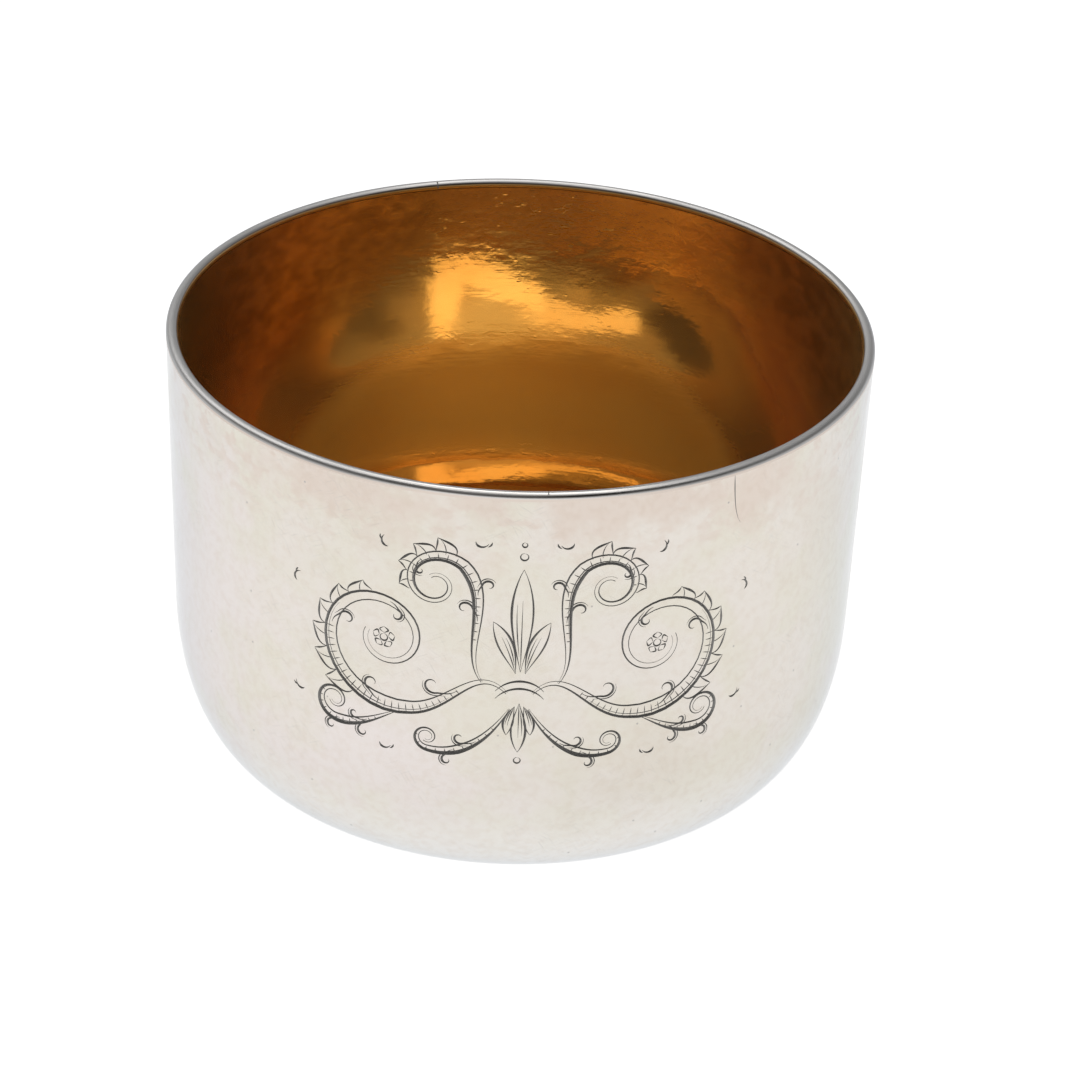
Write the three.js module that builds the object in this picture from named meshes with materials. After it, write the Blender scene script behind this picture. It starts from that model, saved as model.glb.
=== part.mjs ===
// A silver tumbler: a bowl raised from one sheet, a lip wire soldered on its top edge, and a gilt lining.
// Millimetres, +Z up. The origin is the centre of the flat base, and the axis of the cup is Z.
import * as THREE from "three";

// Outside of the cup
const HEIGHT = 51; // base to the crown of the lip
const RIM_DIAMETER = 76; // outside of the lip
const WALL_TAPER_DEG = 1.4; // how far the straight side leans in towards the base
const BELLY_HEIGHT = 18.5; // where the straight side turns into the rounded belly
const BELLY_REACH = 14; // how far in from the side the belly runs before the base is flat
const BELLY_FULLNESS = 0.66; // 0.55 is an elliptical belly, and more is squarer

// Inside of the cup: a rounder belly leaves the metal heaviest low down, so that the cup rights itself
const INSIDE_HEIGHT = 15.5;
const INSIDE_REACH = 16;
const INSIDE_FULLNESS = 0.45;

// Metal
const WALL_THICKNESS = 1.1; // silver of the side
const BASE_THICKNESS = 1.75; // silver of the base
const GILT_THICKNESS = 0.15; // drawn far thicker than real gilding, so that it is a solid
const SEAM_GAP = 0.02; // parts the solids that solder and gilding join

// Lip wire
const LIP_DEPTH = 0.8; // height of the wire
const LIP_CROWN = 0.6; // height of its half-round top

// Fineness of the round surfaces
const SIDES = 96;
const BELLY_STEPS = 9;
const CROWN_STEPS = 6;

const wallSlope = Math.tan(THREE.MathUtils.degToRad(WALL_TAPER_DEG));
const lipShoulder = HEIGHT - LIP_CROWN; // the lip is widest here
const lipSeat = HEIGHT - LIP_DEPTH; // top edge of the bowl, where the wire sits
const outerBelly = { height: BELLY_HEIGHT, reach: BELLY_REACH, fullness: BELLY_FULLNESS };
const innerBelly = { height: INSIDE_HEIGHT, reach: INSIDE_REACH, fullness: INSIDE_FULLNESS };

// Each skin of the cup lies this far in from the outside of the side and up from the underside of the base
const outerSkin = { inset: 0, rise: 0, belly: outerBelly };
const innerSkin = { inset: WALL_THICKNESS, rise: BASE_THICKNESS, belly: innerBelly };
const giltBack = deeper(innerSkin, SEAM_GAP);
const giltFace = deeper(giltBack, GILT_THICKNESS);

const silver = new THREE.MeshStandardMaterial({ color: 0xe2ded6, roughness: 0.16, metalness: 1 });
const lipSilver = new THREE.MeshStandardMaterial({ color: 0xd6d4d0, roughness: 0.14, metalness: 1 });
const gilt = new THREE.MeshStandardMaterial({ color: 0xd9992e, roughness: 0.14, metalness: 1 });

// Radius of the outside of the tapering side at a height
function sideRadius(z) {
  return RIM_DIAMETER / 2 - (lipShoulder - z) * wallSlope;
}

// The skin that lies further into the cup by a depth
function deeper({ inset, rise, belly }, depth) {
  return { inset: inset + depth, rise: rise + depth, belly };
}

// A skin in section: from the axis across the base, round the belly and up the side to the seat of the lip
function skinLine({ inset, rise, belly }) {
  const side = sideRadius(belly.height);
  const foot = new THREE.Vector2(side - belly.reach, rise);
  const shoulder = new THREE.Vector2(side - inset, belly.height);
  const across = (shoulder.x - foot.x) * belly.fullness;
  const down = (shoulder.y - foot.y) * belly.fullness;
  const footHandle = new THREE.Vector2(foot.x + across, foot.y);
  const shoulderHandle = new THREE.Vector2(shoulder.x - down * wallSlope, shoulder.y - down);
  return new THREE.Path()
    .moveTo(0, rise)
    .lineTo(foot.x, foot.y)
    .bezierCurveTo(footHandle.x, footHandle.y, shoulderHandle.x, shoulderHandle.y, shoulder.x, shoulder.y)
    .lineTo(sideRadius(lipSeat) - inset, lipSeat)
    .getPoints(BELLY_STEPS);
}

// The solid between an outer and an inner skin
function shellBetween(outer, inner) {
  return turned([...skinLine(outer), ...skinLine(inner).reverse()]);
}

// The lip wire in section: a half-round top, as wide as the side and the gilding together
function lipLine() {
  const seat = lipSeat + SEAM_GAP;
  const outside = sideRadius(lipShoulder);
  const inside = outside - giltFace.inset;
  const half = (outside - inside) / 2;
  return new THREE.Path()
    .moveTo(inside, seat)
    .lineTo(sideRadius(seat), seat)
    .lineTo(outside, lipShoulder)
    .absellipse(outside - half, lipShoulder, half, LIP_CROWN, 0, Math.PI)
    .lineTo(inside, seat)
    .getPoints(CROWN_STEPS);
}

// A section turned about the cup's axis: three.js turns it about Y, so it is then stood up on Z
function turned(points) {
  return new THREE.LatheGeometry(points, SIDES).rotateX(Math.PI / 2);
}

function piece(name, geometry, material) {
  const mesh = new THREE.Mesh(geometry, material);
  mesh.name = name;
  return mesh;
}

const tumbler = new THREE.Group();
tumbler.add(piece("silver_bowl", shellBetween(outerSkin, innerSkin), silver));
tumbler.add(piece("gilt_lining", shellBetween(giltBack, giltFace), gilt));
tumbler.add(piece("lip_wire", turned(lipLine()), lipSilver));

export default tumbler;
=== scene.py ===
"""Looks of a silver tumbler, built around its solids. Lengths are millimetres until a mesh is made."""
import math

import bpy
import numpy as np
from mathutils import Matrix, Vector


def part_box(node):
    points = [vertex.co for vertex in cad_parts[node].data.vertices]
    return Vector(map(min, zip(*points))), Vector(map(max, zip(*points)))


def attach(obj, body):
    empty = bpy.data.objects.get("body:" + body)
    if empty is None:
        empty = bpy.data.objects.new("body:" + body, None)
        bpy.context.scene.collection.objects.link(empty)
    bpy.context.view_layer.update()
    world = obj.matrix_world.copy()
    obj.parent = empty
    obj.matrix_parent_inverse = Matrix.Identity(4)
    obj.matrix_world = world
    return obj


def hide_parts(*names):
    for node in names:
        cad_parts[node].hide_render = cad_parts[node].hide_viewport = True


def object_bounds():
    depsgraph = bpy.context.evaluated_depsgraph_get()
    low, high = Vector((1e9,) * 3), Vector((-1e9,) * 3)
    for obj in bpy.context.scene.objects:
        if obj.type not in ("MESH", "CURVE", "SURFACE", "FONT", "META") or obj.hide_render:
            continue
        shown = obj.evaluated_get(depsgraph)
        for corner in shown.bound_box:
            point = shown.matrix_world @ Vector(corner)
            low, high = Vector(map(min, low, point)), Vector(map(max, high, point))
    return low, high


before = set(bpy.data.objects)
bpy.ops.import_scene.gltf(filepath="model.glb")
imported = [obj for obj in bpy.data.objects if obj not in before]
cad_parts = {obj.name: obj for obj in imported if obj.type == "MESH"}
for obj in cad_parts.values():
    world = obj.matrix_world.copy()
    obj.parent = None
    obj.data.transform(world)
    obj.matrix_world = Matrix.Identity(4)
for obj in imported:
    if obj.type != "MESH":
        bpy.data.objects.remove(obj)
cad_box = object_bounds()

MM = 0.001

# Sizes read from the solids
HEIGHT = cad_box[1].z / MM
RIM_RADIUS = cad_box[1].x / MM
BOWL_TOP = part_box("silver_bowl")[1].z / MM
GILT_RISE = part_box("gilt_lining")[0].z / MM
GILT_INSET = (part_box("silver_bowl")[1].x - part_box("gilt_lining")[1].x) / MM

# Sizes that the solids are turned from
WALL_TAPER = math.radians(1.4)
OUTER_BELLY = {"top": 18.5, "reach": 14.0, "fullness": 0.66}
INNER_BELLY = {"top": 15.5, "reach": 16.0, "fullness": 0.45}
WALL_THICKNESS = 1.1
BASE_THICKNESS = 1.75
GILT_THICKNESS = 0.15
LIP_CROWN = 0.6

# What the looks add to the lip: a crown squarer than an ellipse (2 is one), and a crease along the gilt
LIP_SQUARENESS = 2.15
LIP_CREASE = 0.09

# Fineness of the meshes
COLUMNS = 384
LINING_COLUMNS = 560
LIP_COLUMNS = 768
BASE_RINGS = 8
BELLY_RINGS = 40
SIDE_RINGS = 16
LINING_SIDE_RINGS = 70
BOWL_INSIDE_RINGS = (3, 10, 2)
GILT_BACK_RINGS = (3, 14, 2)
LIP_STEPS = 36
LIP_SEAT_POINTS = 5
SHARP_EDGE = math.radians(40)

# The engraving's place: the side's radius there, and the ornament's middle as arc from the front and height
BODY_RADIUS = 37.5
ORNAMENT_ARC = 1.2
ORNAMENT_HEIGHT = 33.2

# The graver's cuts: four widths, the depth as a share of half the width, how far a cutter stands clear of
# the metal, how quickly a cut runs out at its ends, and its least width as a share
HAIRLINE = 0.14
FINE_LINE = 0.21
STEM_LINE = 0.28
BOLD_LINE = 0.4
CUT_DEPTH = 0.9
CUT_LIFT = 0.04
CUT_TAPER = 0.6
CUT_THINNEST = 0.2

# The photograph's camera
PICTURE_SIZE = 1080
SENSOR_WIDTH = 36.0
CAMERA_DISTANCE = 450.0
CAMERA_CLIP = 10.0
CAMERA_ELEVATION = math.radians(29.35)
CAMERA_ROLL = math.radians(2.1)
FOCAL_PIXELS = 4075.7
CENTRE_PIXEL = (513.7, 530.9)


# The cup in section

def side_radius(z):
    """Outside radius of the tapering side at a height."""
    return RIM_RADIUS - (HEIGHT - LIP_CROWN - z) * math.tan(WALL_TAPER)


def curve(points, steps):
    """Points along a cubic curve, both ends included."""
    t = np.linspace(0, 1, steps + 1)[:, None]
    a, b, c, d = (np.array(p, float) for p in points)
    return a * (1 - t) ** 3 + 3 * b * t * (1 - t) ** 2 + 3 * c * t ** 2 * (1 - t) + d * t ** 3


def skin_line(inset, rise, belly, base_rings, belly_rings, side_rings):
    """A skin of the cup, as (radius, height), from the axis over the base and the belly to the top."""
    side_foot = side_radius(belly["top"])
    foot = np.array([side_foot - belly["reach"], rise])
    shoulder = np.array([side_foot - inset, belly["top"]])
    across, down = (shoulder - foot) * belly["fullness"]
    handles = foot + [across, 0], shoulder - [down * math.tan(WALL_TAPER), down]
    base = np.linspace([0, rise], foot, base_rings + 1)
    turn = curve((foot, *handles, shoulder), belly_rings)
    side = np.linspace(shoulder, [side_radius(BOWL_TOP) - inset, BOWL_TOP], side_rings + 1)
    return np.concatenate([base, turn[1:], side[1:]])


def crown_line(steps):
    """The top of the lip, from outside to inside: half a rounded oblong."""
    shoulder = HEIGHT - LIP_CROWN
    half = (GILT_INSET + GILT_THICKNESS) / 2
    angle = np.linspace(0, math.pi, steps + 1)
    power = 2 / LIP_SQUARENESS
    across = np.sign(np.cos(angle)) * np.abs(np.cos(angle)) ** power
    up = np.abs(np.sin(angle)) ** power
    return np.column_stack([side_radius(shoulder) + half * (across - 1), shoulder + LIP_CROWN * up])


def lip_line():
    """The lip wire in section: a seat on the bowl's edge, the crown and a crease along the gilt."""
    crown = crown_line(LIP_STEPS)
    inside = crown[-1, 0]
    seat = np.linspace([inside + LIP_CREASE, BOWL_TOP], [side_radius(BOWL_TOP), BOWL_TOP], LIP_SEAT_POINTS)
    return np.concatenate([seat, crown, [[inside, BOWL_TOP + LIP_CREASE]]])


OUTER_SKIN = skin_line(0, 0, OUTER_BELLY, BASE_RINGS, BELLY_RINGS, SIDE_RINGS)


# Meshes

def make_object(name, points, faces, *materials):
    """A mesh object from points in millimetres."""
    mesh = bpy.data.meshes.new(name)
    mesh.from_pydata((np.asarray(points) * MM).tolist(), [], faces)
    mesh.validate()
    for material in materials:
        mesh.materials.append(material)
    piece = bpy.data.objects.new(name, mesh)
    bpy.context.scene.collection.objects.link(piece)
    return piece


def around(radius, angle, height):
    """Points at angles round the cup, where 0 faces the camera and 90 degrees is to its right."""
    return np.stack(np.broadcast_arrays(radius * np.sin(angle), -radius * np.cos(angle), height), -1)


def turned(name, section, columns, *materials, waves=None):
    """A closed section turned about the axis. A section that ends on the axis gets a point there."""
    angle = np.linspace(0, 2 * math.pi, columns, endpoint=False)
    poles = section[0, 0] == 0
    rings = section[1:-1] if poles else section
    radius = np.repeat(rings[:, :1], columns, 1)
    if waves is not None:
        radius = radius + waves(rings, angle)
    points = around(radius, angle, rings[:, 1:]).reshape(-1, 3)
    index = np.arange(len(rings) * columns).reshape(-1, columns)
    if not poles:
        index = np.concatenate([index, index[:1]])
    after = np.roll(index, -1, 1)
    quads = np.stack([index[:-1], after[:-1], after[1:], index[1:]], -1).reshape(-1, 4)
    faces = quads.tolist()
    if poles:
        low, high = len(points), len(points) + 1
        points = np.concatenate([points, [[0, 0, section[0, 1]], [0, 0, section[-1, 1]]]])
        faces += [[low, b, a] for a, b in zip(index[0].tolist(), after[0].tolist())]
        faces += [[high, a, b] for a, b in zip(index[-1].tolist(), after[-1].tolist())]
    piece = make_object(name, points, faces, *materials)
    piece.data.shade_smooth()
    piece.data.set_sharp_from_angle(angle=SHARP_EDGE)
    return piece


# Lines of the engraving, on the unrolled side: right and up from the middle of the ornament

def spiral(centre, outer, inner, start_deg, turn_deg):
    """Points along a spiral that closes from one radius to another. A negative turn is clockwise."""
    t = np.linspace(0, 1, max(8, round(abs(turn_deg) / 10)) + 1)
    angle = np.radians(start_deg + turn_deg * t)
    radius = outer * (inner / outer) ** t
    return np.array(centre) + radius[:, None] * np.column_stack([np.cos(angle), np.sin(angle)])


def joined(*runs):
    """One line from several that meet end to end."""
    return np.concatenate([runs[0]] + [run[1:] for run in runs[1:]])


def shares(line):
    """Share of the line's length at each of its points, from 0 to 1."""
    run = np.concatenate([[0], np.cumsum(np.hypot(*np.diff(line, axis=0).T))])
    return run / run[-1]


def headings(line):
    """The way a line heads at each of its points."""
    step = np.gradient(line, axis=0)
    return step / np.hypot(*step.T)[:, None]


def left_of(vectors):
    """Vectors turned a quarter to the left."""
    return np.stack([-vectors[..., 1], vectors[..., 0]], -1)


def pick(line, share):
    """The points of a line at some shares of its length."""
    run = shares(line)
    return np.stack([np.interp(share, run, line[:, k]) for k in (0, 1)], -1)


def part_of(line, first, last, steps):
    """A stretch of a line between two shares of its length."""
    return pick(line, np.linspace(first, last, steps + 1))


def at(line, share, near=0.004):
    """Point on a line, the way it heads there and its left, at a share of its length."""
    before, point, after = pick(line, np.array([share - near, share, share + near]))
    way = (after - before) / np.hypot(*(after - before))
    return point, way, left_of(way)


class Ornament:
    """A set of graver's strokes: lines, each with its widest width and where along it that is."""

    def __init__(self):
        self.strokes = []

    def cut(self, line, width, swell=0.5):
        """One stroke of the graver."""
        self.strokes.append((np.asarray(line, float), width, swell))

    def scroll(self, line, widest, swell, ticks):
        """A band that swells and closes again: two edges, a shade line and ticks across its full part."""
        run = shares(line)
        half = widest / 2 * np.interp(run, [0, swell, 0.8, 1], [0.12, 1, 0.4, 0.3])
        left = left_of(headings(line)) * half[:, None]
        self.cut(line - left, BOLD_LINE, swell)
        self.cut(line + left, FINE_LINE, swell)
        self.cut(part_of(line - left * 0.45, swell * 0.45, min(swell * 1.9, 0.8), 24), HAIRLINE)
        for share in np.linspace(swell * 0.4, swell * 1.7, ticks):
            point, _, side = at(line, share)
            reach = side * np.interp(share, run, half)
            self.cut([point - reach, point - reach * 0.1, point + reach * 0.55], HAIRLINE)

    def lobes(self, line, first, last, count, side, high, away):
        """Leaf lobes along one side of a line, each a bold back, a fine hollow and a vein, ever smaller."""
        edges = np.linspace(first, last, count + 1)
        for k in range(count):
            size = high * (1 - 0.5 * k / count)
            start, way, out = at(line, edges[k])
            end, _, end_out = at(line, edges[k + 1])
            out = out * side
            start = start + out * away
            end = end + end_out * side * away
            tip = (start + end) / 2 + out * size * 0.9 + way * size
            back = start, start + out * size * 0.9, tip - way * size * 0.8, tip
            self.cut(curve(back, 12), STEM_LINE, 0.6)
            hollow = tip - out * size * 0.6 - way * size * 0.25
            self.cut(curve((tip, hollow, end + end_out * side * size * 0.3, end), 10), FINE_LINE, 0.3)
            middle = (start + end) / 2
            vein = middle, middle + out * size * 0.35, tip - way * size * 0.5, tip - way * size * 0.25
            self.cut(curve(vein, 6) - out * size * 0.06, HAIRLINE, 0.4)

    def shoot(self, line, share, side, reach, turn_deg=255, lean_deg=24):
        """A tendril that leaves a line to one side and rolls up, with a fine line along its back."""
        point, way, left = at(line, share)
        lean = math.radians(lean_deg) * side
        out = way * math.cos(lean) + left * math.sin(lean)
        radius = reach * 0.36
        neck = point + out * reach * 0.8
        centre = neck + side * left_of(out) * radius
        start_deg = math.degrees(math.atan2(*(neck - centre)[::-1]))
        roll = spiral(centre, radius, radius * 0.38, start_deg, side * turn_deg)
        stalk = curve((point, point + way * reach * 0.4, neck - out * reach * 0.3, neck), 8)
        whole = joined(stalk, roll)
        self.cut(whole, STEM_LINE, 0.62)
        back = whole - left_of(headings(whole)) * side * 0.3
        self.cut(part_of(back, 0.2, 0.72, 14), HAIRLINE)

    def petal(self, foot, angle_deg, length, fat, bend_deg=0.0):
        """A pointed petal: two swelling sides that meet at the tip and two veins."""
        t = np.linspace(0, 1, 17)
        angle = np.radians(angle_deg + bend_deg * t[:-1])
        steps = np.column_stack([np.cos(angle), np.sin(angle)]) * length / 16
        rib = np.array(foot) + np.concatenate([[[0, 0]], np.cumsum(steps, axis=0)])
        swell = left_of(headings(rib)) * (fat * np.abs(np.sin(np.pi * t ** 1.25)) ** 0.85)[:, None]
        self.cut(rib + swell, STEM_LINE, 0.6)
        self.cut(rib - swell, FINE_LINE, 0.6)
        self.cut(part_of(rib, 0.04, 0.7, 10), HAIRLINE, 0.25)
        self.cut(part_of(rib + swell * 0.5, 0.15, 0.66, 10), HAIRLINE, 0.4)

    def flick(self, place, angle_deg, reach, turn_deg=150):
        """A loose pair of short cuts beside the ornament."""
        self.cut(spiral(place, reach, reach * 0.6, angle_deg, turn_deg), STEM_LINE, 0.7)
        angle = math.radians(angle_deg)
        second = np.array(place) + np.array([math.cos(angle), math.sin(angle)]) * reach * 0.6
        self.cut(spiral(second, reach * 0.8, reach * 0.6, angle_deg - 30, turn_deg * 0.5), FINE_LINE, 0.4)

    def ring(self, centre, radius):
        """A bead."""
        self.cut(spiral(centre, radius, radius * 0.92, 90, 352), FINE_LINE)

    def rosette(self, centre, size, angle_deg):
        """Five small leaves round a bead, each of two bowed cuts."""
        self.ring(centre, size * 0.34)
        for angle in np.radians(angle_deg + 72 * np.arange(5)):
            out = np.array([math.cos(angle), math.sin(angle)])
            foot = centre + out * size * 0.42
            tip = centre + out * size
            for bend, width in ((0.5, FINE_LINE), (-0.5, HAIRLINE)):
                bow = (foot + tip) / 2 + left_of(out) * size * bend
                self.cut(curve((foot, bow, bow, tip), 8), width)

    def mirrored(self):
        """The same strokes on the other side of the centre line."""
        return [(line * np.array([-1, 1]), width, swell) for line, width, swell in self.strokes]


def half_ornament():
    """The right half of a scroll-and-leaf ornament."""
    art = Ornament()
    # Great scroll: out from the collar, under the volute and round it
    stem = curve(((1.3, -5.7), (4.6, -1.9), (7.0, -8.0), (11.29, -8.64)), 20)
    great = joined(stem, spiral((14.3, -0.8), 8.4, 1.9, -111, 490))
    art.scroll(great, 1.7, 0.3, 26)
    art.lobes(great, 0.36, 0.66, 6, -1, 1.9, 0.62)
    for share, reach in ((0.12, 3.0), (0.30, 2.6), (0.52, 2.4), (0.70, 1.9)):
        art.shoot(great, share, 1, reach)
    art.rosette(np.array([14.3, -0.8]), 1.25, 20)
    # Upper scroll: off the great stem, up beside the petals, over and round
    rise = curve(((3.9, -4.5), (6.4, -1.2), (2.5, 5.4), (6.0, 9.21)), 20)
    upper = joined(rise, spiral((8.9, 6.6), 3.9, 1.0, 138, -440))
    art.scroll(upper, 1.25, 0.42, 18)
    art.lobes(upper, 0.5, 0.74, 4, 1, 1.5, 0.4)
    for share, side, reach in ((0.24, -1, 2.3), (0.34, 1, 1.9), (0.62, -1, 1.4)):
        art.shoot(upper, share, side, reach)
    # Lower tendril: from under the collar, along the bottom and up at its end
    low = curve(((1.0, -7.6), (2.8, -10.9), (5.6, -13.9), (9.4, -13.3)), 20)
    lower = joined(low, spiral((9.5, -11.9), 1.4, 0.5, -95, 400))
    art.scroll(lower, 0.9, 0.45, 11)
    art.shoot(lower, 0.32, 1, 2.0)
    art.shoot(lower, 0.48, -1, 1.7)
    # Outer tendril: off the back of the great scroll, into the lower corner
    branch = curve(((12.9, -9.5), (15.0, -10.6), (17.0, -12.3), (19.7, -12.1)), 16)
    outer = joined(branch, spiral((19.9, -9.9), 2.2, 0.6, -95, 430))
    art.scroll(outer, 0.95, 0.4, 12)
    for share, side, reach in ((0.22, -1, 1.9), (0.42, -1, 1.7), (0.24, 1, 1.5)):
        art.shoot(outer, share, side, reach)
    # Petals of the palmette beside the middle one, and of the drop below the collar
    art.petal((0.5, -3.3), 76, 6.6, 0.75, -16)
    art.petal((0.45, -7.3), -66, 3.6, 0.5, -24)
    # Loose flicks outside
    art.flick((4.4, 12.2), 200, 0.85)
    art.flick((13.9, 10.6), 60, 0.85, -150)
    art.flick((24.3, 3.2), 100, 0.85, -150)
    art.flick((24.1, -9.6), 20, 0.8, -150)
    art.flick((14.2, -13.6), 200, 0.8)
    return art


def centre_ornament():
    """What lies on the centre line: the middle petals, the collar and the beads."""
    art = Ornament()
    art.petal((0, -3.1), 90, 12.2, 1.1)
    art.petal((0, -6.9), -90, 6.0, 0.75)
    for drop in (0, 0.9):
        collar = ((-2.5, -5.5 - drop), (-1.2, -3.8 - drop), (1.2, -3.8 - drop), (2.5, -5.5 - drop))
        art.cut(curve(collar, 16), STEM_LINE)
    for height, radius in ((10.6, 0.42), (12.0, 0.27), (-13.9, 0.36)):
        art.ring((0, height), radius)
    return art


# Cuts in the metal

def wedge(name, points, outward, left, half_width, material):
    """A closed wedge along points on a surface, to cut a V: its edges stand clear, its keel is sunk."""
    half_width = half_width[:, None]
    depth = half_width * CUT_DEPTH
    top = half_width * (depth + CUT_LIFT) / depth
    lifted = points + outward * CUT_LIFT
    rows = np.stack([lifted + left * top, lifted - left * top, points - outward * depth], 1)
    count = len(points)
    index = np.arange(count * 3).reshape(count, 3)
    a, b, keel = index[:-1].T
    next_a, next_b, next_keel = index[1:].T
    strips = ((b, next_b, next_a, a), (a, next_a, next_keel, keel), (b, keel, next_keel, next_b))
    faces = []
    for p, q, r, s in strips:
        faces += np.stack([p, q, r], 1).tolist() + np.stack([p, r, s], 1).tolist()
    faces += [[0, 2, 1], index[-1].tolist()]
    return make_object(name, rows.reshape(-1, 3), faces, material)


def stroke_wedge(line, width, swell, material):
    """The wedge of one stroke on the outside, given in arc round the body and height."""
    run = shares(line)
    fullness = np.where(run < swell, run / swell, (1 - run) / (1 - swell)) ** CUT_TAPER
    angle = line[:, 0] / BODY_RADIUS
    outside = OUTER_SKIN[BASE_RINGS:]
    points = around(np.interp(line[:, 1], outside[:, 1], outside[:, 0]), angle, line[:, 1])
    outward = around(1.0, angle, 0.0)
    round_way = np.stack([np.cos(angle), np.sin(angle), np.zeros_like(angle)], -1)
    left = left_of(headings(line))
    left = round_way * left[:, :1] + np.array([0, 0, 1]) * left[:, 1:]
    return wedge("stroke", points, outward, left, width / 2 * np.maximum(fullness, CUT_THINNEST), material)


def lip_wedge(angle_deg, first, last, width, material):
    """The wedge of a nick across the lip, between two shares of its crown from outside to inside."""
    crown = crown_line(LIP_STEPS)[round(first * LIP_STEPS):round(last * LIP_STEPS) + 1]
    angle = np.full(len(crown), math.radians(angle_deg))
    facing = -left_of(headings(crown))
    points = around(crown[:, 0], angle, crown[:, 1])
    outward = around(facing[:, 0], angle, facing[:, 1])
    left = np.cross(outward, around(-facing[:, 1], angle, facing[:, 0]))
    return wedge("nick", points, outward, left, np.full(len(crown), width / 2), material)


def carve(piece, cutters):
    """Cuts wedges out of a piece. The faces that they leave take the wedges' material."""
    group = bpy.data.collections.new("cutters")
    for cutter in cutters:
        group.objects.link(cutter)
    cut = piece.modifiers.new("cuts", "BOOLEAN")
    cut.operation = "DIFFERENCE"
    cut.operand_type = "COLLECTION"
    cut.collection = group
    cut.solver = "MANIFOLD"
    cut.material_mode = "TRANSFER"
    graph = bpy.context.evaluated_depsgraph_get()
    mesh = bpy.data.meshes.new_from_object(piece.evaluated_get(graph))
    piece.modifiers.clear()
    piece.data = mesh
    for cutter in cutters:
        bpy.data.objects.remove(cutter)
    bpy.data.collections.remove(group)


def face_loops(mesh):
    """For each corner of a mesh: its place in millimetres, and its face's normal and material."""
    vertex = np.empty(len(mesh.loops), int)
    mesh.loops.foreach_get("vertex_index", vertex)
    place = np.empty(len(mesh.vertices) * 3)
    mesh.vertices.foreach_get("co", place)
    normal = np.empty(len(mesh.polygons) * 3)
    mesh.polygons.foreach_get("normal", normal)
    slot = np.empty(len(mesh.polygons), int)
    mesh.polygons.foreach_get("material_index", slot)
    sides = np.empty(len(mesh.polygons), int)
    mesh.polygons.foreach_get("loop_total", sides)
    corners = place.reshape(-1, 3)[vertex] / MM
    return corners, np.repeat(normal.reshape(-1, 3), sides, 0), np.repeat(slot, sides)


def round_off(mesh, section, cut_slot, close=0.01, same_way=0.9):
    """Shades the uncut faces close to a turned section as the true round form, and the rest flat."""
    place, normal, slot = face_loops(mesh)
    radius = np.hypot(place[:, 0], place[:, 1])
    run = section.sum(1)
    facing = -left_of(headings(section))
    here = radius + place[:, 2]
    on_skin = np.abs(radius - np.interp(here, run, section[:, 0])) < close
    across, up = (np.interp(here, run, facing[:, k]) for k in (0, 1))
    middle = np.maximum(radius, 1e-6)
    true = np.stack([across * place[:, 0] / middle, across * place[:, 1] / middle, up], -1)
    true /= np.linalg.norm(true, axis=1)[:, None]
    smooth = on_skin & (slot != cut_slot) & ((true * normal).sum(1) > same_way)
    mesh.shade_smooth()
    mesh.normals_split_custom_set(np.where(smooth[:, None], true, normal).tolist())


# Materials

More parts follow.
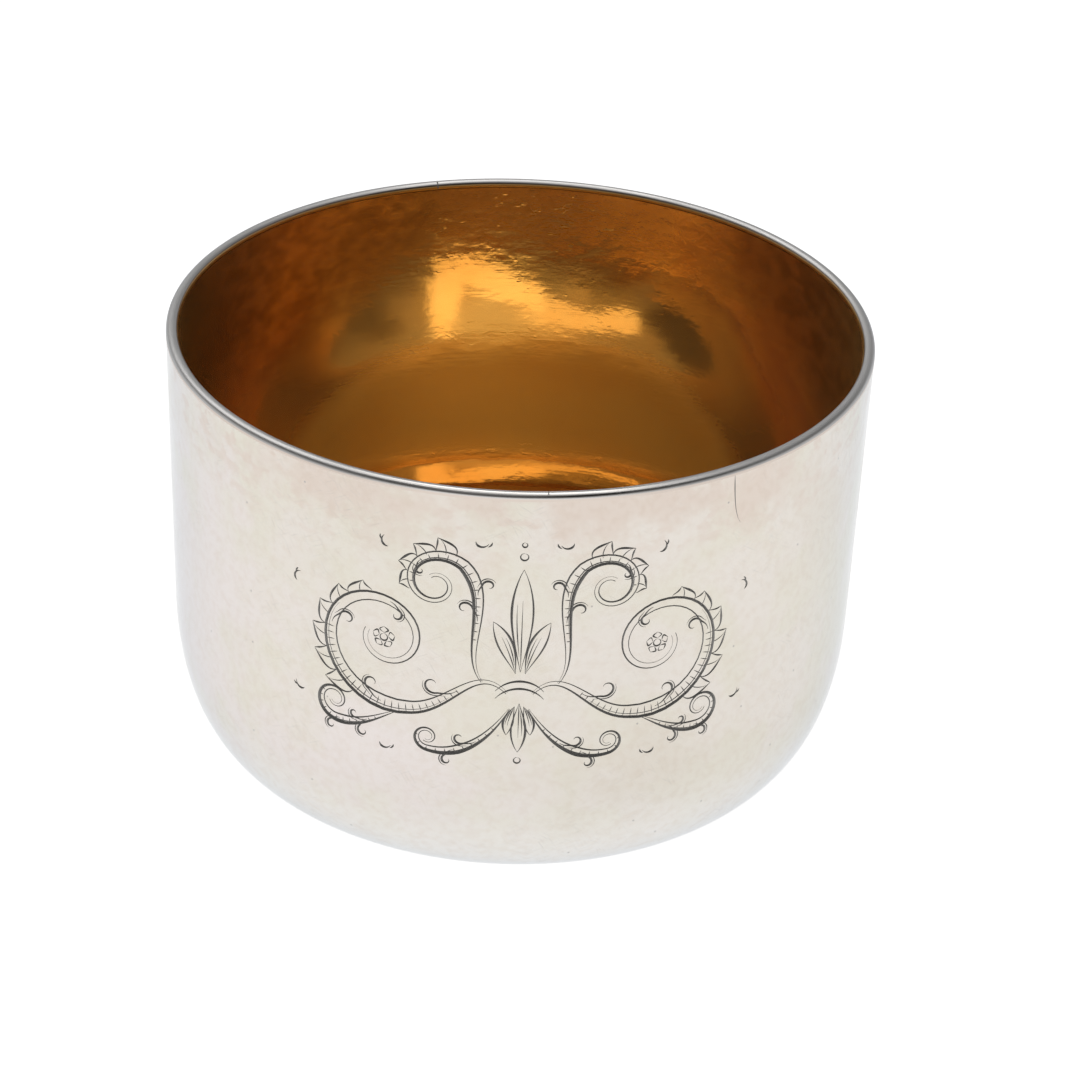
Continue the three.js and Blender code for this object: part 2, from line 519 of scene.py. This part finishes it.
class Nodes:
    """Short ways to add and join the nodes of one material or world."""

    def __init__(self, owner):
        owner.use_nodes = True
        self.tree = owner.node_tree
        self.tree.nodes.clear()

    def add(self, kind, inputs=None, **settings):
        """A node with its settings, and its inputs set to values or joined to other nodes' outputs."""
        node = self.tree.nodes.new("ShaderNode" + kind)
        for name, value in settings.items():
            setattr(node, name, value)
        for name, value in (inputs or {}).items():
            if isinstance(value, bpy.types.NodeSocket):
                self.tree.links.new(value, node.inputs[name])
            else:
                node.inputs[name].default_value = value
        return node

    def math(self, operation, *values):
        """The result of a sum on values or outputs."""
        return self.add("Math", dict(enumerate(values)), operation=operation).outputs[0]

    def total(self, first, *others):
        """Several values added up."""
        for other in others:
            first = self.math("ADD", first, other)
        return first

    def steps(self, value, low, high, to_low=0.0, to_high=1.0):
        """A value eased from one range to another."""
        inputs = {"Value": value, "From Min": low, "From Max": high, "To Min": to_low, "To Max": to_high}
        return self.add("MapRange", inputs, interpolation_type="SMOOTHSTEP").outputs[0]

    def blend(self, share, first, second, mode="MIX"):
        """Two colours mixed by a share."""
        node = self.add("Mix", data_type="RGBA", blend_type=mode)
        for socket, value in zip((node.inputs[0], node.inputs[6], node.inputs[7]), (share, first, second)):
            if isinstance(value, bpy.types.NodeSocket):
                self.tree.links.new(value, socket)
            elif socket is node.inputs[0]:
                socket.default_value = value
            else:
                socket.default_value = (*value, 1)
        return node.outputs[2]

    def millimetres(self):
        """The point on the piece, in millimetres."""
        point = self.add("TexCoord").outputs["Object"]
        return self.add("VectorMath", {0: point, "Scale": 1 / MM}, operation="SCALE").outputs[0]

    def parts(self, vector):
        """The three parts of a vector."""
        return self.add("SeparateXYZ", {0: vector}).outputs

    def stretched(self, point, sizes, turn_deg=0.0, shift=0.0):
        """A point turned about Z, moved, and divided by a size along each axis."""
        turn = (0, 0, math.radians(turn_deg))
        inputs = {"Vector": point, "Rotation": turn, "Location": (shift, shift, 0)}
        moved = self.add("Mapping", inputs).outputs[0]
        return self.add("VectorMath", {0: moved, 1: sizes}, operation="DIVIDE").outputs[0]

    def noise(self, point, size, detail=2.0):
        """Noise with patches of about a size."""
        inputs = {"Vector": point, "Scale": 1 / size, "Detail": detail}
        return self.add("TexNoise", inputs).outputs[0]

    def weighed(self, value, weight):
        """A value times a weight."""
        return self.math("MULTIPLY", value, weight)

    def length(self, x, y):
        """The length of a flat vector."""
        return self.math("SQRT", self.total(self.weighed(x, x), self.weighed(y, y)))

    def bump(self, height, depth, below=None):
        """A normal from a height of 0 to 1 that stands for a depth in millimetres."""
        inputs = {"Height": height, "Distance": depth * MM}
        if below is not None:
            inputs["Normal"] = below
        return self.add("Bump", inputs).outputs[0]

    def surface(self, **inputs):
        """The shader and the output. Names use an underscore for a space."""
        inputs = {name.replace("_", " "): value for name, value in inputs.items()}
        shader = self.add("BsdfPrincipled", inputs)
        self.add("OutputMaterial", {"Surface": shader.outputs[0]})


def new_nodes(name):
    """A new material and its nodes."""
    material = bpy.data.materials.new(name)
    return material, Nodes(material)


# The silver's colours: at grazing angles, in tarnish and marks, painted light and shade, grain, and cuts
SILVER_EDGE = (0.81, 0.84, 0.875, 1)
SILVER_WARM = (0.712, 0.675, 0.592)
SILVER_LILAC = (0.750, 0.695, 0.670)
SILVER_PINK = (0.685, 0.597, 0.530)
SILVER_TAN = (0.700, 0.650, 0.580)
# Painted light: paler low down, to offset the floor's shadow that the silver reflects there
SILVER_PAINTED_LIGHT = (0.830, 0.810, 0.780)
SILVER_DULL = (0.42, 0.40, 0.38)
# Painted shade: the dark line along the lip's inner arris
ARRIS_PAINTED_SHADE = (0.25, 0.19, 0.155)
SILVER_GRAIN = (0.97, 0.955, 0.94)
GROOVE_GREY = (0.33, 0.32, 0.305, 1)

# The lip: two shades of worn silver, painted shade at the sides and back, and the gilt on its inner edge
LIP_WORN = (0.64, 0.61, 0.58)
LIP_DULL = (0.58, 0.56, 0.54)
LIP_PAINTED_SHADE = (0.44, 0.43, 0.42)
LIP_GILT = (0.60, 0.37, 0.13)

# The gilt: two shades of the wall, the belly at the back, the darker floor and tarnish with painted shade
# near the rim, how rough it is where it is polished, and how far right of the back that part has its middle
GILT_RED = (0.88, 0.56, 0.215)
GILT_YELLOW = (0.88, 0.60, 0.25)
GILT_BELLY = (0.67, 0.36, 0.11)
GILT_FLOOR = (0.61, 0.41, 0.14)
GILT_TARNISH_AND_SHADE = (0.34, 0.20, 0.07)
GILT_ROUGHNESS = 0.05
GILT_MIDDLE = math.radians(14)

# Tinted patches on the outside: arc from the front, height, half width, half height, colour
SILVER_PATCHES = (
    (-17.0, 48.5, 15.0, 5.0, SILVER_PINK),
    (9.0, 49.0, 15.0, 4.0, SILVER_PINK),
    (26.0, 48.0, 9.0, 5.0, SILVER_PINK),
    (-35.0, 47.0, 6.0, 3.0, SILVER_TAN),
    (-42.0, 28.0, 18.0, 24.0, SILVER_LILAC),
    (-14.0, 17.0, 15.0, 8.0, SILVER_LILAC),
    (15.5, 18.0, 8.0, 6.0, SILVER_TAN),
    (38.0, 40.0, 8.0, 9.0, SILVER_TAN),
)


def silver_tint(nodes, point, across, height):
    """Faint tarnish, mottled and grainy, stained below the lip, with ragged patches; painted paler low down.
    """
    ragged = nodes.math("SUBTRACT", nodes.noise(point, 4.5, 8.0), 0.5)
    mottle = nodes.steps(nodes.noise(point, 8.0, 8.0), 0.4, 0.6)
    colour = nodes.blend(nodes.weighed(mottle, 0.5), SILVER_WARM, SILVER_LILAC)
    # Painted light: paler low down, to offset the floor's shadow that the silver reflects there
    low = nodes.steps(nodes.total(height, nodes.weighed(ragged, 5.0)), 2.0, 17.0, 1.0, 0.0)
    colour = nodes.blend(low, colour, SILVER_PAINTED_LIGHT)
    for arc, middle, wide, high, tint in SILVER_PATCHES:
        x = nodes.math("DIVIDE", nodes.math("SUBTRACT", across, arc), wide)
        y = nodes.math("DIVIDE", nodes.math("SUBTRACT", height, middle), high)
        away = nodes.total(nodes.length(x, y), nodes.weighed(ragged, 2.4))
        colour = nodes.blend(nodes.steps(away, 0.2, 1.2, 0.9, 0.0), colour, tint)
    stains = nodes.noise(nodes.stretched(point, (2.6, 2.6, 1.6)), 1.0, 6.0)
    stained = nodes.weighed(nodes.steps(stains, 0.5, 0.64), nodes.steps(height, 38.0, 50.0, 0.1, 0.8))
    colour = nodes.blend(stained, colour, SILVER_PINK)
    grain = nodes.steps(nodes.noise(point, 0.9, 3.0), 0.4, 0.7)
    return nodes.blend(grain, colour, SILVER_GRAIN, "MULTIPLY")


def scratches(nodes, flat, turn_deg, shift):
    """Short fine scratches that lie about one way: 1 on a scratch, 0 off it."""
    long_way = nodes.stretched(flat, (2.8, 0.13, 1.0), turn_deg, shift)
    return nodes.steps(nodes.noise(long_way, 1.0, 1.0), 0.64, 0.74)


def pits(nodes, flat, spacing, size):
    """Small pits, in about half of the cells of a grid."""
    inputs = {"Vector": flat, "Scale": 1 / spacing}
    cells = nodes.add("TexVoronoi", inputs, voronoi_dimensions="2D").outputs
    hole = nodes.steps(cells["Distance"], size / spacing * 0.4, size / spacing, 1.0, 0.0)
    chance = nodes.parts(cells["Color"])[0]
    return nodes.weighed(hole, nodes.steps(chance, 0.5, 0.52))


def make_silver():
    """The bowl's silver: faintly tarnished, with fine scratches, a few pits and a duller underside."""
    material, nodes = new_nodes("silver")
    point = nodes.millimetres()
    x, y, height = nodes.parts(point)
    across = nodes.weighed(nodes.math("ARCTAN2", x, nodes.weighed(y, -1.0)), BODY_RADIUS)
    flat = nodes.add("CombineXYZ", {0: across, 1: height}).outputs[0]
    lines = nodes.total(scratches(nodes, flat, 34, 0.0), scratches(nodes, flat, -28, 40.0),
                        scratches(nodes, flat, 62, 90.0))
    lines = nodes.weighed(lines, nodes.steps(nodes.noise(point, 9.0), 0.4, 0.65))
    holes = pits(nodes, flat, 9.0, 0.16)
    under = nodes.steps(height, 0.0, 0.9, 1.0, 0.0)
    colour = silver_tint(nodes, point, across, height)
    colour = nodes.blend(nodes.weighed(lines, 0.19), colour, SILVER_DULL)
    colour = nodes.blend(nodes.weighed(holes, 0.8), colour, SILVER_DULL)
    roughness = nodes.total(nodes.steps(nodes.noise(point, 7.0, 3.0), 0.3, 0.7, 0.12, 0.17),
                            nodes.weighed(lines, 0.05), nodes.weighed(under, 0.12))
    cut = nodes.bump(nodes.math("ADD", lines, holes), -0.002)
    uneven = nodes.bump(nodes.noise(point, 3.5, 2.0), 0.006, cut)
    nodes.surface(Base_Color=colour, Metallic=1.0, Roughness=roughness, Specular_Tint=SILVER_EDGE,
                  Normal=uneven)
    return material


def make_lip_silver():
    """The lip's silver: worn, with fine marks along the wire, painted shade at its sides and back, and
    inside a painted dark line of shade and a trace of gilt.
    """
    material, nodes = new_nodes("lip_silver")
    point = nodes.millimetres()
    x, y, height = nodes.parts(point)
    radius = nodes.length(x, y)
    turn = nodes.weighed(nodes.math("ARCTAN2", x, nodes.weighed(y, -1.0)), RIM_RADIUS)
    along = nodes.add("CombineXYZ", {0: turn, 1: radius, 2: height}).outputs[0]
    marks = nodes.noise(nodes.stretched(along, (5.0, 0.12, 0.12)), 1.0, 2.0)
    clouds = nodes.steps(nodes.noise(point, 6.0, 3.0), 0.35, 0.65)
    shoulder = HEIGHT - LIP_CROWN
    inside = side_radius(shoulder) - GILT_INSET - GILT_THICKNESS
    # Painted shade: the lip is darker at the sides and back, to dim the reflections there
    sides = nodes.steps(nodes.math("ABSOLUTE", x), RIM_RADIUS * 0.15, RIM_RADIUS * 0.5)
    sides = nodes.math("MAXIMUM", sides, nodes.steps(y, 0.0, RIM_RADIUS * 0.5, 0.0, 0.6))
    ends = nodes.steps(nodes.math("ABSOLUTE", y), RIM_RADIUS * 0.2, RIM_RADIUS * 0.6, 0.05, 0.0)
    from_gilt = nodes.math("SUBTRACT", nodes.math("SUBTRACT", radius, inside), ends)
    colour = nodes.blend(clouds, LIP_WORN, LIP_DULL)
    colour = nodes.blend(sides, colour, LIP_PAINTED_SHADE)
    colour = nodes.blend(nodes.steps(height, shoulder, shoulder + 0.15, 1.0, 0.0), colour, SILVER_PINK)
    # Painted shade: a dark line along the inner arris, wider at the sides
    colour = nodes.blend(nodes.steps(from_gilt, 0.09, 0.15, 1.0, 0.0), colour, ARRIS_PAINTED_SHADE)
    colour = nodes.blend(nodes.steps(from_gilt, 0.02, 0.07, 1.0, 0.0), colour, LIP_GILT)
    roughness = nodes.total(nodes.steps(marks, 0.35, 0.65, 0.16, 0.22), nodes.weighed(sides, 0.2))
    worn = nodes.bump(marks, 0.002)
    nodes.surface(Base_Color=colour, Metallic=1.0, Roughness=roughness, Specular_Tint=SILVER_EDGE,
                  Normal=worn)
    return material


def make_gilt():
    """Gold over hammered silver: polished at the back, tarnished with painted shade at the rim, satin below
    and in front.
    """
    material, nodes = new_nodes("gilt")
    point = nodes.millimetres()
    x, y, height = nodes.parts(point)
    off_back = nodes.math("ABSOLUTE", nodes.math("SUBTRACT", nodes.math("ARCTAN2", x, y), GILT_MIDDLE))

    def round_from(low_deg, high_deg, to_low=0.0, to_high=1.0):
        return nodes.steps(off_back, math.radians(low_deg), math.radians(high_deg), to_low, to_high)

    # Parts of the inside, each 1 within and 0 outside. The tarnish and painted shade reach lower at the
    # sides
    rim = nodes.steps(nodes.total(height, round_from(25, 65, 0.0, 9.0)), 35.0, 49.0)
    floor = nodes.steps(height, GILT_RISE + 0.3, GILT_RISE + 3.0, 1.0, 0.0)
    belly = nodes.weighed(nodes.steps(height, 15.0, 17.0, 1.0, 0.0), round_from(40, 65, 1.0, 0.0))
    sides = round_from(40, 75)
    facing = round_from(95, 125)
    front = nodes.weighed(facing, nodes.steps(height, 15.0, 19.0))
    uneven_part = round_from(68, 92, 1.0, 0.0)
    # Patterns
    mottle = nodes.noise(nodes.stretched(point, (2.8, 2.8, 1.8)), 1.0, 3.0)
    clouds = nodes.steps(nodes.noise(point, 11.0, 3.0), 0.36, 0.66)
    streaks = nodes.noise(nodes.stretched(point, (7.0, 7.0, 0.4)), 1.0, 3.0)
    flecks = nodes.steps(nodes.noise(nodes.stretched(point, (1.2, 1.2, 0.8)), 1.0, 2.0), 0.6, 0.8)
    blotches = nodes.weighed(nodes.steps(mottle, 0.35, 0.65, 0.0, 0.25), uneven_part)
    blotches = nodes.total(blotches, nodes.weighed(facing, 0.4))
    # Tarnish and painted shade near the rim: darker away from the polished back to dim reflections, less in
    # blotches and in front
    tarnish = nodes.weighed(round_from(14, 36, 0.35, 1.0), rim)
    tarnish = nodes.weighed(tarnish, nodes.math("SUBTRACT", 1.0, blotches))
    colour = nodes.blend(clouds, GILT_RED, GILT_YELLOW)
    colour = nodes.blend(belly, colour, GILT_BELLY)
    # Darker on the floor
    colour = nodes.blend(floor, colour, GILT_FLOOR)
    colour = nodes.blend(tarnish, colour, GILT_TARNISH_AND_SHADE)
    roughness = nodes.weighed(nodes.steps(streaks, 0.3, 0.7, -0.015, 0.015), uneven_part)
    roughness = nodes.total(roughness, GILT_ROUGHNESS)
    for part, more in ((rim, 0.03), (tarnish, 0.11), (floor, 0.6), (sides, 0.05), (front, 0.24)):
        roughness = nodes.total(roughness, nodes.weighed(part, more))
    uneven = nodes.total(mottle, nodes.weighed(flecks, 0.2))
    uneven = nodes.weighed(uneven, nodes.math("MAXIMUM", rim, 0.2))
    uneven = nodes.weighed(uneven, round_from(30, 65, 1.0, 0.2))
    brushed = nodes.bump(streaks, 0.003)
    hammered = nodes.bump(uneven, 0.07, brushed)
    nodes.surface(Base_Color=colour, Metallic=0.84, Roughness=roughness, Specular_IOR_Level=0.0,
                  Normal=hammered)
    return material


def make_groove():
    """The dark that settles in a cut. It is too narrow for a pattern to show."""
    material, nodes = new_nodes("groove")
    nodes.surface(Base_Color=GROOVE_GREY, Metallic=0.5, Roughness=0.45)
    return material


silver = make_silver()
lip_silver = make_lip_silver()
gilt = make_gilt()
groove = make_groove()


# Pieces

# A hairline split below the lip, as arc and height, and marks across the lip at its front and its back
SPLIT_LINE = ((23.3, BOWL_TOP + 0.1), (23.5, 47.4), (23.7, 45.6), (24.5, 44.4))
TICK = {"angle_deg": 5.1, "first": 0.3, "last": 0.75, "width": 0.12}
NICK = {"angle_deg": -164.0, "first": 0.55, "last": 1.0, "width": 0.16}

# What the hammer left inside: a low swelling at the back, and three kinds of waves. For each kind: the
# fewest and most round the cup, the shortest and longest in height, the depth, the share of it that is there
# all over, and the share that is added at the rim
SWELL = {"depth": 0.42, "middle": 13.8, "spread": 2.9, "half_deg": 60}
WAVES = (
    (3, 9, 22, 50, 0.010, 1.0, 0.0),
    (16, 34, 7, 16, 0.0012, 0.4, 1.0),
    (40, 76, 3, 7, 0.0010, 0.0, 1.0),
)
WAVES_OF_A_KIND = 12
WAVE_SEED = 5
RIM_WAVES_FROM = 33
RIM_WAVES_OVER = 17


def engraving():
    """The wedges of every cut in the outside: the ornament, and a hairline split below the lip."""
    right = half_ornament()
    strokes = right.strokes + right.mirrored() + centre_ornament().strokes
    middle = np.array([ORNAMENT_ARC, ORNAMENT_HEIGHT])
    wedges = [stroke_wedge(line + middle, width, swell, groove) for line, width, swell in strokes]
    return wedges + [stroke_wedge(curve(SPLIT_LINE, 16), HAIRLINE, 0.2, groove)]


def eased(value):
    """A value held between 0 and 1, with a smooth start and end."""
    value = np.clip(value, 0, 1)
    return value * value * (3 - 2 * value)


def lining_waves(rings, angle):
    """How far the hammer left each point of the lining from the round."""
    random = np.random.default_rng(WAVE_SEED)
    face = np.arange(len(rings)) >= len(rings) - (BASE_RINGS + BELLY_RINGS + LINING_SIDE_RINGS)
    height = rings[:, 1]
    near_rim = eased((height - RIM_WAVES_FROM) / RIM_WAVES_OVER)
    total = np.zeros((len(rings), len(angle)))
    for fewest, most, shortest, longest, depth, below, more in WAVES:
        strength = below + more * near_rim
        for _ in range(WAVES_OF_A_KIND):
            lobes = random.integers(fewest, most)
            tall = random.uniform(shortest, longest) * random.choice([-1, 1])
            phase = random.uniform(0, 2 * math.pi)
            wave = np.cos(lobes * angle + 2 * math.pi * height[:, None] / tall + phase)
            total += depth * strength[:, None] * wave
    swell = np.exp(-((height - SWELL["middle"]) / SWELL["spread"]) ** 2)[:, None]
    swell = swell * eased((math.radians(SWELL["half_deg"]) - np.abs(angle - math.pi)) * 2)
    return (total - SWELL["depth"] * swell) * face[:, None]


def make_bowl():
    """The raised silver with its engraving."""
    inner = skin_line(WALL_THICKNESS, BASE_THICKNESS, INNER_BELLY, *BOWL_INSIDE_RINGS)
    section = np.concatenate([OUTER_SKIN, inner[::-1]])
    bowl = turned("bowl", section, COLUMNS, silver, groove)
    carve(bowl, engraving())
    round_off(bowl.data, OUTER_SKIN, 1)
    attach(bowl, "root")
    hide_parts("silver_bowl")


def make_lining():
    """The layer of gold inside."""
    back = skin_line(GILT_INSET, GILT_RISE, INNER_BELLY, *GILT_BACK_RINGS)
    face = skin_line(GILT_INSET + GILT_THICKNESS, GILT_RISE + GILT_THICKNESS, INNER_BELLY,
                     BASE_RINGS, BELLY_RINGS, LINING_SIDE_RINGS)
    section = np.concatenate([back, face[::-1]])
    lining = turned("lining", section, LINING_COLUMNS, gilt, waves=lining_waves)
    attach(lining, "root")
    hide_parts("gilt_lining")


def make_lip():
    """The wire round the top, with its two marks."""
    lip = turned("lip", lip_line(), LIP_COLUMNS, lip_silver, groove)
    carve(lip, [lip_wedge(**TICK, material=groove), lip_wedge(**NICK, material=groove)])
    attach(lip, "root")
    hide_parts("lip_wire")


make_bowl()
make_lining()
make_lip()


# Stage

# The floor: its reach, its grey, and how bright it looks to the camera and to reflections beside its light
FLOOR_REACH = 3000
FLOOR_GREY = (0.3, 0.3, 0.3, 1)
FLOOR_GLOW = 0.91
WHITE = (1, 1, 1, 1)


def make_floor():
    """White to the camera and in reflections, with a soft shadow: a glow and the light that falls on it."""
    reach = FLOOR_REACH
    corners = [(-reach, -reach, 0), (reach, -reach, 0), (reach, reach, 0), (-reach, reach, 0)]
    material, nodes = new_nodes("floor")
    path = nodes.add("LightPath").outputs
    seen = nodes.math("MAXIMUM", path["Is Camera Ray"], path["Is Glossy Ray"])
    matte = nodes.add("BsdfDiffuse", {"Color": FLOOR_GREY})
    glow = nodes.add("Emission", {"Color": WHITE, "Strength": nodes.weighed(seen, FLOOR_GLOW)})
    both = nodes.add("AddShader", {0: matte.outputs[0], 1: glow.outputs[0]})
    nodes.add("OutputMaterial", {"Surface": both.outputs[0]})
    floor = make_object("floor", corners, [(0, 1, 2, 3)], material)


def toward(azimuth_deg, elevation_deg):
    """A direction from the cup. Azimuth 0 is straight behind it, 90 to the camera's right."""
    azimuth, elevation = math.radians(azimuth_deg), math.radians(elevation_deg)
    return Vector((math.sin(azimuth) * math.cos(elevation), math.cos(azimuth) * math.cos(elevation),
                   math.sin(elevation)))


def panel(nodes, direction, azimuth_deg, elevation_deg, wide_deg, high_deg, soft_deg):
    """1 where a direction falls on a rectangle in the room, easing to 0 round its edge."""
    out = toward(azimuth_deg, elevation_deg)
    right = Vector((0, 0, 1)).cross(out).normalized() * -1
    up = right.cross(out)
    ahead = nodes.add("VectorMath", {0: direction, 1: out}, operation="DOT_PRODUCT").outputs[1]
    mask = nodes.steps(ahead, 0.0, 0.1)
    for axis, half_deg in ((right, wide_deg / 2), (up, high_deg / 2)):
        along = nodes.add("VectorMath", {0: direction, 1: axis}, operation="DOT_PRODUCT").outputs[1]
        angle = nodes.math("ABSOLUTE", nodes.math("ARCTAN2", along, ahead))
        inner, outer = math.radians(half_deg - soft_deg), math.radians(half_deg + soft_deg)
        mask = nodes.weighed(mask, nodes.steps(angle, inner, outer, 1.0, 0.0))
    return mask


def ceiling_light(nodes, x, y, corners, soft):
    """1 where a point of the ceiling lies within counter-clockwise corners, easing to 0 round the edge."""
    mask = 1.0
    for (x0, y0), (x1, y1) in zip(corners, corners[1:] + corners[:1]):
        length = math.hypot(x1 - x0, y1 - y0)
        across, up = (y0 - y1) / length, (x1 - x0) / length
        inward = nodes.total(nodes.weighed(x, across), nodes.weighed(y, up), -x0 * across - y0 * up)
        mask = nodes.weighed(mask, nodes.steps(inward, -soft, soft))
    return mask


# Lights on the ceiling, with its height above the cup as the unit: corners (right, behind), softness, level
CEILING_LIGHTS = (
    (((-0.23, -0.20), (-0.15, -0.17), (-0.57, 0.57), (-1.25, 0.55)), 0.05, 2.15),
    (((0.20, 0.30), (0.30, 0.76), (-0.39, 1.32), (-1.25, 1.62), (-1.35, 0.62)), 0.06, 2.15),
    (((-0.25, -0.25), (0.22, -0.12), (0.17, 0.36), (-0.20, 0.57), (-0.50, 0.32)), 0.09, 1.08),
    (((-0.04, 0.16), (0.48, -0.25), (0.80, -0.09), (0.24, 0.52)), 0.05, 1.7),
    (((0.34, 0.34), (0.80, 0.42), (0.85, 0.88), (0.36, 0.92)), 0.18, 0.62),
)

# Dark things in the room: azimuth, elevation, width, height and softness in degrees, and the share hidden
DARK_PANELS = (
    (138, 42, 54, 32, 4, 0.88),
    (-129, 50, 16, 24, 5, 0.6),
)

# The backdrop behind the cup, placed as the dark things are, and the levels of the rest of the room
BACKDROP = (0, 12, 76, 36, 6)
BACKDROP_LEVEL = 0.6
LOW_LEVEL = 0.9
ROOM_LEVEL = 0.19
OVERHEAD_LEVEL = 0.36
CAMERA_SIDE_SHARE = 0.62


def make_world():
    """White to the camera. The cup sees a room that is pale low down, dim above and lit overhead."""
    world = bpy.data.worlds.new("studio")
    bpy.context.scene.world = world
    nodes = Nodes(world)
    direction = nodes.add("TexCoord").outputs["Generated"]
    right, back, up = nodes.parts(direction)
    level = nodes.steps(up, 0.12, 0.34, LOW_LEVEL, ROOM_LEVEL)
    level = nodes.total(level, nodes.steps(up, 0.55, 0.97, 0.0, OVERHEAD_LEVEL))
    level = nodes.weighed(level, nodes.steps(back, 0.1, -0.6, 1.0, CAMERA_SIDE_SHARE))
    for *place, hidden in DARK_PANELS:
        dark = nodes.weighed(panel(nodes, direction, *place), hidden)
        level = nodes.weighed(level, nodes.math("SUBTRACT", 1.0, dark))
    backdrop = panel(nodes, direction, *BACKDROP)
    level = nodes.total(nodes.weighed(level, nodes.math("SUBTRACT", 1.0, backdrop)),
                        nodes.weighed(backdrop, BACKDROP_LEVEL))
    reach = nodes.math("MAXIMUM", up, 0.05)
    over = nodes.steps(up, 0.1, 0.2)
    ceiling = nodes.math("DIVIDE", right, reach), nodes.math("DIVIDE", back, reach)
    for *place, strength in CEILING_LIGHTS:
        light = nodes.weighed(ceiling_light(nodes, *ceiling, *place), over)
        level = nodes.math("MAXIMUM", level, nodes.weighed(light, strength))
    seen = nodes.add("LightPath").outputs["Is Camera Ray"]
    level = nodes.math("MAXIMUM", level, seen)
    background = nodes.add("Background", {"Color": WHITE, "Strength": level})
    nodes.add("OutputWorld", {"Surface": background.outputs[0]})


def make_camera():
    """The photograph's view: aimed so that the middle of the cup falls on its own pixel."""
    data = bpy.data.cameras.new("camera")
    data.sensor_width = SENSOR_WIDTH
    data.lens = SENSOR_WIDTH * FOCAL_PIXELS / PICTURE_SIZE
    data.clip_start = CAMERA_CLIP * MM
    camera = bpy.data.objects.new("camera", data)
    back = Vector((0, -math.cos(CAMERA_ELEVATION), math.sin(CAMERA_ELEVATION)))
    camera.location = Vector((0, 0, HEIGHT / 2 * MM)) + back * CAMERA_DISTANCE * MM
    right = Vector((1, 0, 0))
    upright = Matrix((right, back.cross(right), back)).transposed()
    roll = Matrix.Rotation(CAMERA_ROLL, 3, "Z")
    middle = PICTURE_SIZE / 2
    sight = Vector((CENTRE_PIXEL[0] - middle, middle - CENTRE_PIXEL[1], -FOCAL_PIXELS))
    aim = Vector((0, 0, -1)).rotation_difference(sight).to_matrix()
    camera.rotation_euler = (upright @ roll @ aim.inverted()).to_euler()
    bpy.context.scene.collection.objects.link(camera)
    bpy.context.scene.camera = camera


make_floor()
make_world()
make_camera()
bpy.context.scene.view_settings.view_transform = "Standard"
